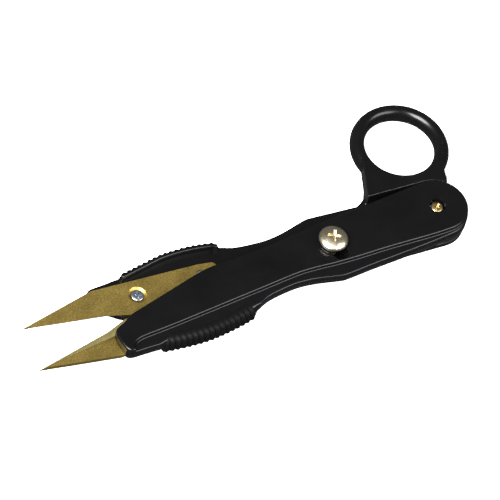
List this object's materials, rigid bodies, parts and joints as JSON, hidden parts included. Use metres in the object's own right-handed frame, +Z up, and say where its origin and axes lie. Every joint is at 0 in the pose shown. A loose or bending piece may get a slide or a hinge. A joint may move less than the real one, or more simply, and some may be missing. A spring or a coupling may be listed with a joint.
{
  "type": "thread snips",
  "caption": "Spring-loaded thread snips: two moulded levers on a rear pivot, with pointed blades, ribbed finger pads and a finger ring.",
  "frame": {"origin": "on the pivot axis at the flat underside of the ring lever, which rests on a table", "axes": "+X away from the blade tips, along the line that halves the open angle; +Y towards the finger ring; +Z up, along the pivot axis, towards the screw heads"},
  "size_m": [0.1385, 0.0497, 0.011],
  "materials": {
    "body_black": "moulded gloss black with soft edges",
    "blade_gold": "satin olive gold coating with a fine speckle and a brighter ground bevel",
    "brass": "pale bright brass",
    "screw_zinc": "bluish zinc plate",
    "nickel": "warm nickel plate with a soft polish",
    "steel": "plain bright steel"
  },
  "bodies": {
    "ring_side": {"ring_lever": "body_black", "ring_blade": "blade_gold", "ring_blade_screw": "screw_zinc", "ring_blade_insert": "brass", "ring_blade_peg": "steel", "pivot_screw": "brass", "pivot_insert": "brass", "pivot_collar": "steel", "pivot_thrust_washer": "steel", "guide_screw": "nickel", "guide_washer": "steel", "guide_bush": "brass", "guide_nut": "steel", "torsion_spring": "steel"},
    "cover_side": {"cover_lever": "body_black", "cover_blade": "blade_gold", "cover_blade_screw": "screw_zinc", "cover_blade_insert": "brass", "cover_blade_peg": "steel"}
  },
  "joints": [
    {"name": "snip_hinge", "type": "hinge", "parent": "ring_side", "child": "cover_side", "pos_m": [0, 0, 0.004], "axis": [0, 0, -1], "range_deg": [0, 7], "stiffness_Nm_per_rad": 1.2, "springref_deg": -17.19, "deforming": ["torsion_spring"]}
  ]
}
